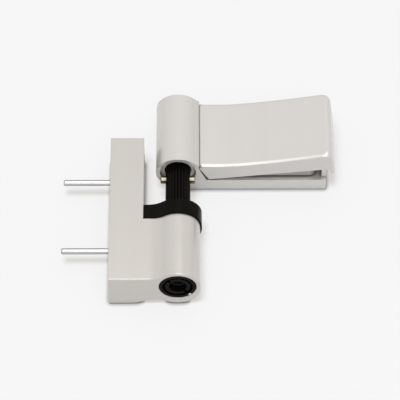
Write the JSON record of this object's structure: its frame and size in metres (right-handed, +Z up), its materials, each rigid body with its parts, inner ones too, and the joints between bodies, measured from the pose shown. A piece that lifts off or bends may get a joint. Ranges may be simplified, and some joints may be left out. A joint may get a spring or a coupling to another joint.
{
  "type": "lift-off door hinge",
  "caption": "Surface-mounted lift-off door hinge: dowelled frame leaf with knuckle and bearing insert, fluted pin with cross pin, and an adjustable sash leaf under a hinged cover.",
  "frame": {"origin": "on the frame leaf's mounting face, at mid height, midway between the two dowels", "axes": "+X from the mounting face towards the sash leaf, +Y along the hinge line towards the sash barrel, +Z up from the back of the sash plate"},
  "size_m": [0.1362, 0.1111, 0.0276],
  "materials": {
    "silver_paint": "satin silver paint",
    "black_plastic": "satin moulded",
    "grey_plastic": "moulded",
    "bright_steel": "zinc plated",
    "dark_steel": "black oxide",
    "mill_aluminium": "sawn"
  },
  "bodies": {
    "frame": {"frame_leaf": "silver_paint", "dowel_pin_upper": "bright_steel", "dowel_pin_lower": "bright_steel", "bearing_insert": "black_plastic", "end_plug": "black_plastic"},
    "height_screw": {"height_screw": "dark_steel"},
    "lifting_nut": {"lifting_nut": "bright_steel"},
    "pin": {"pin_sleeve": "black_plastic", "pin_core": "bright_steel", "cross_pin": "bright_steel"},
    "bush": {"sash_bush": "grey_plastic"},
    "sash": {"sash_leaf": "silver_paint", "barrel_end_cap": "grey_plastic"},
    "cover": {"cover_cap": "silver_paint"},
    "block": {"fixing_block": "mill_aluminium"},
    "side_screw": {"side_screw": "bright_steel", "side_screw_clip": "bright_steel"}
  },
  "joints": [
    {"name": "pin_draw", "type": "slide", "parent": "frame", "child": "pin", "axis": [0, 1, 0], "range_m": [-0.02, 0.014]},
    {"name": "sash_lift", "type": "slide", "parent": "pin", "child": "bush", "axis": [0, 1, 0], "range_m": [-0.0041, 0.033]},
    {"name": "sash_swing", "type": "hinge", "parent": "bush", "child": "sash", "pos_m": [0.0337, -0.0088, 0.0037], "axis": [0, 1, 0], "range_deg": [-90, 90]},
    {"name": "cover_open", "type": "hinge", "parent": "sash", "child": "cover", "pos_m": [0.0456, 0.045, 0.0079], "axis": [0, 1, 0], "range_deg": [-40, 7.5]},
    {"name": "side_screw_turn", "type": "hinge", "parent": "sash", "child": "side_screw", "pos_m": [0.1083, 0.045, 0.0008], "axis": [1, 0, 0], "range_deg": [-1080, 1080]},
    {"name": "side_adjust", "type": "slide", "parent": "sash", "child": "block", "axis": [1, 0, 0], "range_m": [-0.002, 0.002]},
    {"name": "height_screw_turn", "type": "hinge", "parent": "frame", "child": "height_screw", "pos_m": [0.0337, -0.0088, 0.0037], "axis": [0, 1, 0], "range_deg": [-20, 1440]},
    {"name": "nut_climb", "type": "slide", "parent": "frame", "child": "lifting_nut", "axis": [0, 1, 0], "range_m": [-0.0035, 0]}
  ],
  "couplings": [
    {"joint": "side_screw_turn", "follows": "side_adjust", "rad_per_m": -8976},
    {"joint": "height_screw_turn", "follows": "nut_climb", "rad_per_m": -6283.2}
  ]
}
